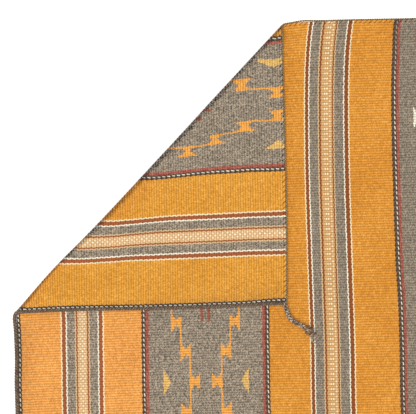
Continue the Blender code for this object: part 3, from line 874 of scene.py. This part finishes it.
def cornerTassel(name, node, corners, floor, material, seed):
    # Twisted cord to the knot, a thick strand wound round its end, then the loose yarn ends
    chance = np.random.default_rng(seed)
    route, places = smoothRoute(corners, tassel["step"])
    sideways, upward = levelFrame(route)
    route[:, 2] += (tassel["thickness"] - tassel["cord"]) / 2
    radius = tassel["thickness"] * tassel["plyShare"]
    spread = tassel["thickness"] / 2 - radius
    turn = 2 * np.pi * places / tassel["pitch"]
    shapes = [plies(route, sideways, upward, turn, tassel["plies"], spread, radius,
                    tassel["plySides"])]
    heading = route[-1] - route[-1 - tassel["headingSteps"]]
    heading = heading / np.linalg.norm(heading)
    aside = np.cross(heading, [0, 0, 1])
    centre = route[-1] * (1, 1, 0) + (0, 0, floor + tassel["knot"][2] / 2)

    # The knot: a helix flattened to the knot's own length, width and height, narrow at its ends
    wound = np.linspace(0, 1, tassel["knotPoints"])
    angle = 2 * np.pi * tassel["knotTurns"] * wound
    strand = tassel["knotStrand"]
    swell = np.sin(np.pi * np.clip(wound * 1.1 - 0.05, 0, 1)) ** 0.5
    swell = tassel["knotEnd"] + (1 - tassel["knotEnd"]) * swell
    across = (tassel["knot"][1] / 2 - strand) * swell
    tall = (tassel["knot"][2] / 2 - strand) * swell
    shift = (wound - 0.5) * (tassel["knot"][0] - 2 * strand)
    helix = (centre + heading * shift[:, None] + aside * (across * np.cos(angle))[:, None]
             + np.array([0, 0, 1]) * (tall * np.sin(angle))[:, None])
    path = np.gradient(helix, axis=0)
    path /= np.linalg.norm(path, axis=1)[:, None]
    outward = np.cross(path, heading)
    outward /= np.linalg.norm(outward, axis=1)[:, None]
    knot = plies(helix, outward, np.cross(outward, path), angle * 0, 1, 0.0, strand,
                 tassel["plySides"])
    knot[2][:, 1] += tassel["knotMap"]  # further round on its map, where the wool is browner
    low, span = tassel["knotShade"]  # painted shade, darker low down
    heights = knot[0][:, 2]
    # painted shade: the marks rise with height, so the knot's wool is darker low down
    knot[3][:] = low + span * (heights - heights.min()) / np.ptp(heights)
    shapes.append(knot)

    for _ in range(tassel["ends"]):
        fan = chance.uniform(-0.5, 0.5)
        length = tassel["endLength"] * chance.uniform(tassel["shortest"], 1.0)
        reach = np.linspace(0, tassel["knot"][0] / 2 + length, tassel["endPoints"])[:, None]
        lift = tassel["endLift"] * chance.random() * (1 - reach / reach[-1])
        curl = reach * chance.uniform(*tassel["curls"]) + chance.uniform(0, 6)
        curl = tassel["curl"] * np.sin(curl)
        sway = fan * (tassel["fanStart"] + tassel["fan"] * reach) + curl
        strand = centre * (1, 1, 0) + heading * reach + aside * sway
        strand = strand + np.array([0, 0, 1]) * (floor + tassel["endRadius"] + lift)
        thin = tassel["endRadius"] * np.linspace(1, tassel["endTip"], len(strand))
        shapes.append(plies(strand, *levelFrame(strand), np.zeros(len(strand)), 1, 0.0, thin,
                            tassel["endSides"]))

    piece = meshPiece(name, *joined(shapes), material)
    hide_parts(node)
    return piece


woolMaterial = rugWool()
endWool = cordWool("endCordWool", dye(96, 77, 62), dye(142, 122, 100))
sideWool = cordWool("sideCordWool", dye(134, 114, 84), dye(190, 164, 120))
tasselWool = cordWool("tasselWool", dye(98, 77, 59), dye(212, 196, 170))
print("materials made")

wovenRug = buildRug(woolMaterial)
print("rug woven:", len(wovenRug.data.polygons), "faces")

length, width = rug["length"], rug["width"]
stop = tassel["cord"] + tassel["clearance"]
cords = [
    edgeCord("endCordLeft", "end_cord_left", endCord,
             (0, width - stop), (0, stop), (-1, 0), endWool),
    edgeCord("endCordRight", "end_cord_right", endCord,
             (length, width - stop), (length, stop), (1, 0), endWool),
    edgeCord("sideCordFar", "side_cord_far", sideCord,
             (length, 0), (0, 0), (0, -1), sideWool),
    edgeCord("sideCordNear", "side_cord_near", sideCord,
             (length, width), (0, width), (0, 1), sideWool),
]
print("edge cords twisted:", len(cords))

floorGap = tassel["clearance"] / 2
layerTop = rug["thickness"] + tassel["clearance"]
probe = 0.02  # how far along each edge the turned corner's two directions are read
corner = onRug(np.array([0.0, probe, 0.0]), np.array([0.0, 0.0, probe]), 0)[:, :2]
away = (corner[0] - corner[1]) / np.linalg.norm(corner[0] - corner[1])
inward = (corner[2] - corner[0]) / np.linalg.norm(corner[2] - corner[0])
level = floorGap + tassel["cord"] / 2
tassels = [
    cornerTassel("tasselFolded", "tassel_folded",
                 cornerRoute(0, 0, away, inward, foldedRoute, layerTop + tassel["cord"] / 2),
                 layerTop, tasselWool, tassel["seed"]),
    cornerTassel("tasselRightFar", "tassel_right_far",
                 cornerRoute(length, 0, (1, 0), (0, -1), looseRoute, level),
                 floorGap, tasselWool, tassel["seed"] + 1),
    cornerTassel("tasselLeftNear", "tassel_left_near",
                 cornerRoute(0, width, (-1, 0), (0, 1), looseRoute, level),
                 floorGap, tasselWool, tassel["seed"] + 2),
    cornerTassel("tasselRightNear", "tassel_right_near",
                 cornerRoute(length, width, (1, 0), (0, 1), looseRoute, level),
                 floorGap, tasselWool, tassel["seed"] + 3),
]
print("tassels tied:", len(tassels))

view = {  # the photograph's frame, seen straight down
    "centre": (-0.5332, 0.2410), "frameWidth": 0.5824, "height": 3.0, "turn": -2.0,
    "sensor": 36.0, "clip": (0.05, 100), "key": 2.0, "keyAngle": 45.0, "keyTilt": (11, -11),
    "fill": 0.62, "floorReach": 20.0, "floorDrop": 0.0002, "paper": 0.95, "glow": 0.2,
}


def studio():
    scene = bpy.context.scene
    scene.view_settings.view_transform = "Standard"
    reach = view["floorReach"]
    corners = [(-reach, -reach, 0), (reach, -reach, 0), (reach, reach, 0), (-reach, reach, 0)]
    floorMesh = bpy.data.meshes.new("floor")
    floorMesh.from_pydata(corners, [], [(0, 1, 2, 3)])
    floor = bpy.data.objects.new("floor", floorMesh)
    floor.location.z = -view["floorDrop"]
    scene.collection.objects.link(floor)
    paper = view["paper"]
    pale = Shader("palePaper", (paper, paper, paper))
    for name, given in (
        ("Base Color", (paper, paper, paper, 1)), ("Emission Color", (1, 1, 1, 1)),
        ("Emission Strength", view["glow"]), ("Roughness", 0.9), ("Specular IOR Level", 0.0),
    ):
        pale.surface.inputs[name].default_value = given
    floorMesh.materials.append(pale.material)

    scene.world = bpy.data.worlds.new("softRoom")
    scene.world.use_nodes = True
    room = scene.world.node_tree.nodes["Background"]
    room.inputs["Color"].default_value = (1, 1, 1, 1)
    room.inputs["Strength"].default_value = view["fill"]

    lamp = bpy.data.lights.new("softBox", "SUN")
    lamp.energy = view["key"]
    lamp.angle = math.radians(view["keyAngle"])
    holder = bpy.data.objects.new("softBox", lamp)
    holder.rotation_euler = (*(math.radians(tilt) for tilt in view["keyTilt"]), 0)
    scene.collection.objects.link(holder)

    lens = bpy.data.cameras.new("camera")
    lens.sensor_width = view["sensor"]
    lens.lens = view["sensor"] * view["height"] / view["frameWidth"]
    lens.clip_start, lens.clip_end = view["clip"]
    camera = bpy.data.objects.new("camera", lens)
    camera.location = (*view["centre"], view["height"])
    camera.rotation_euler = (0, 0, math.radians(view["turn"]))
    scene.collection.objects.link(camera)
    scene.camera = camera


studio()
print("studio lit")
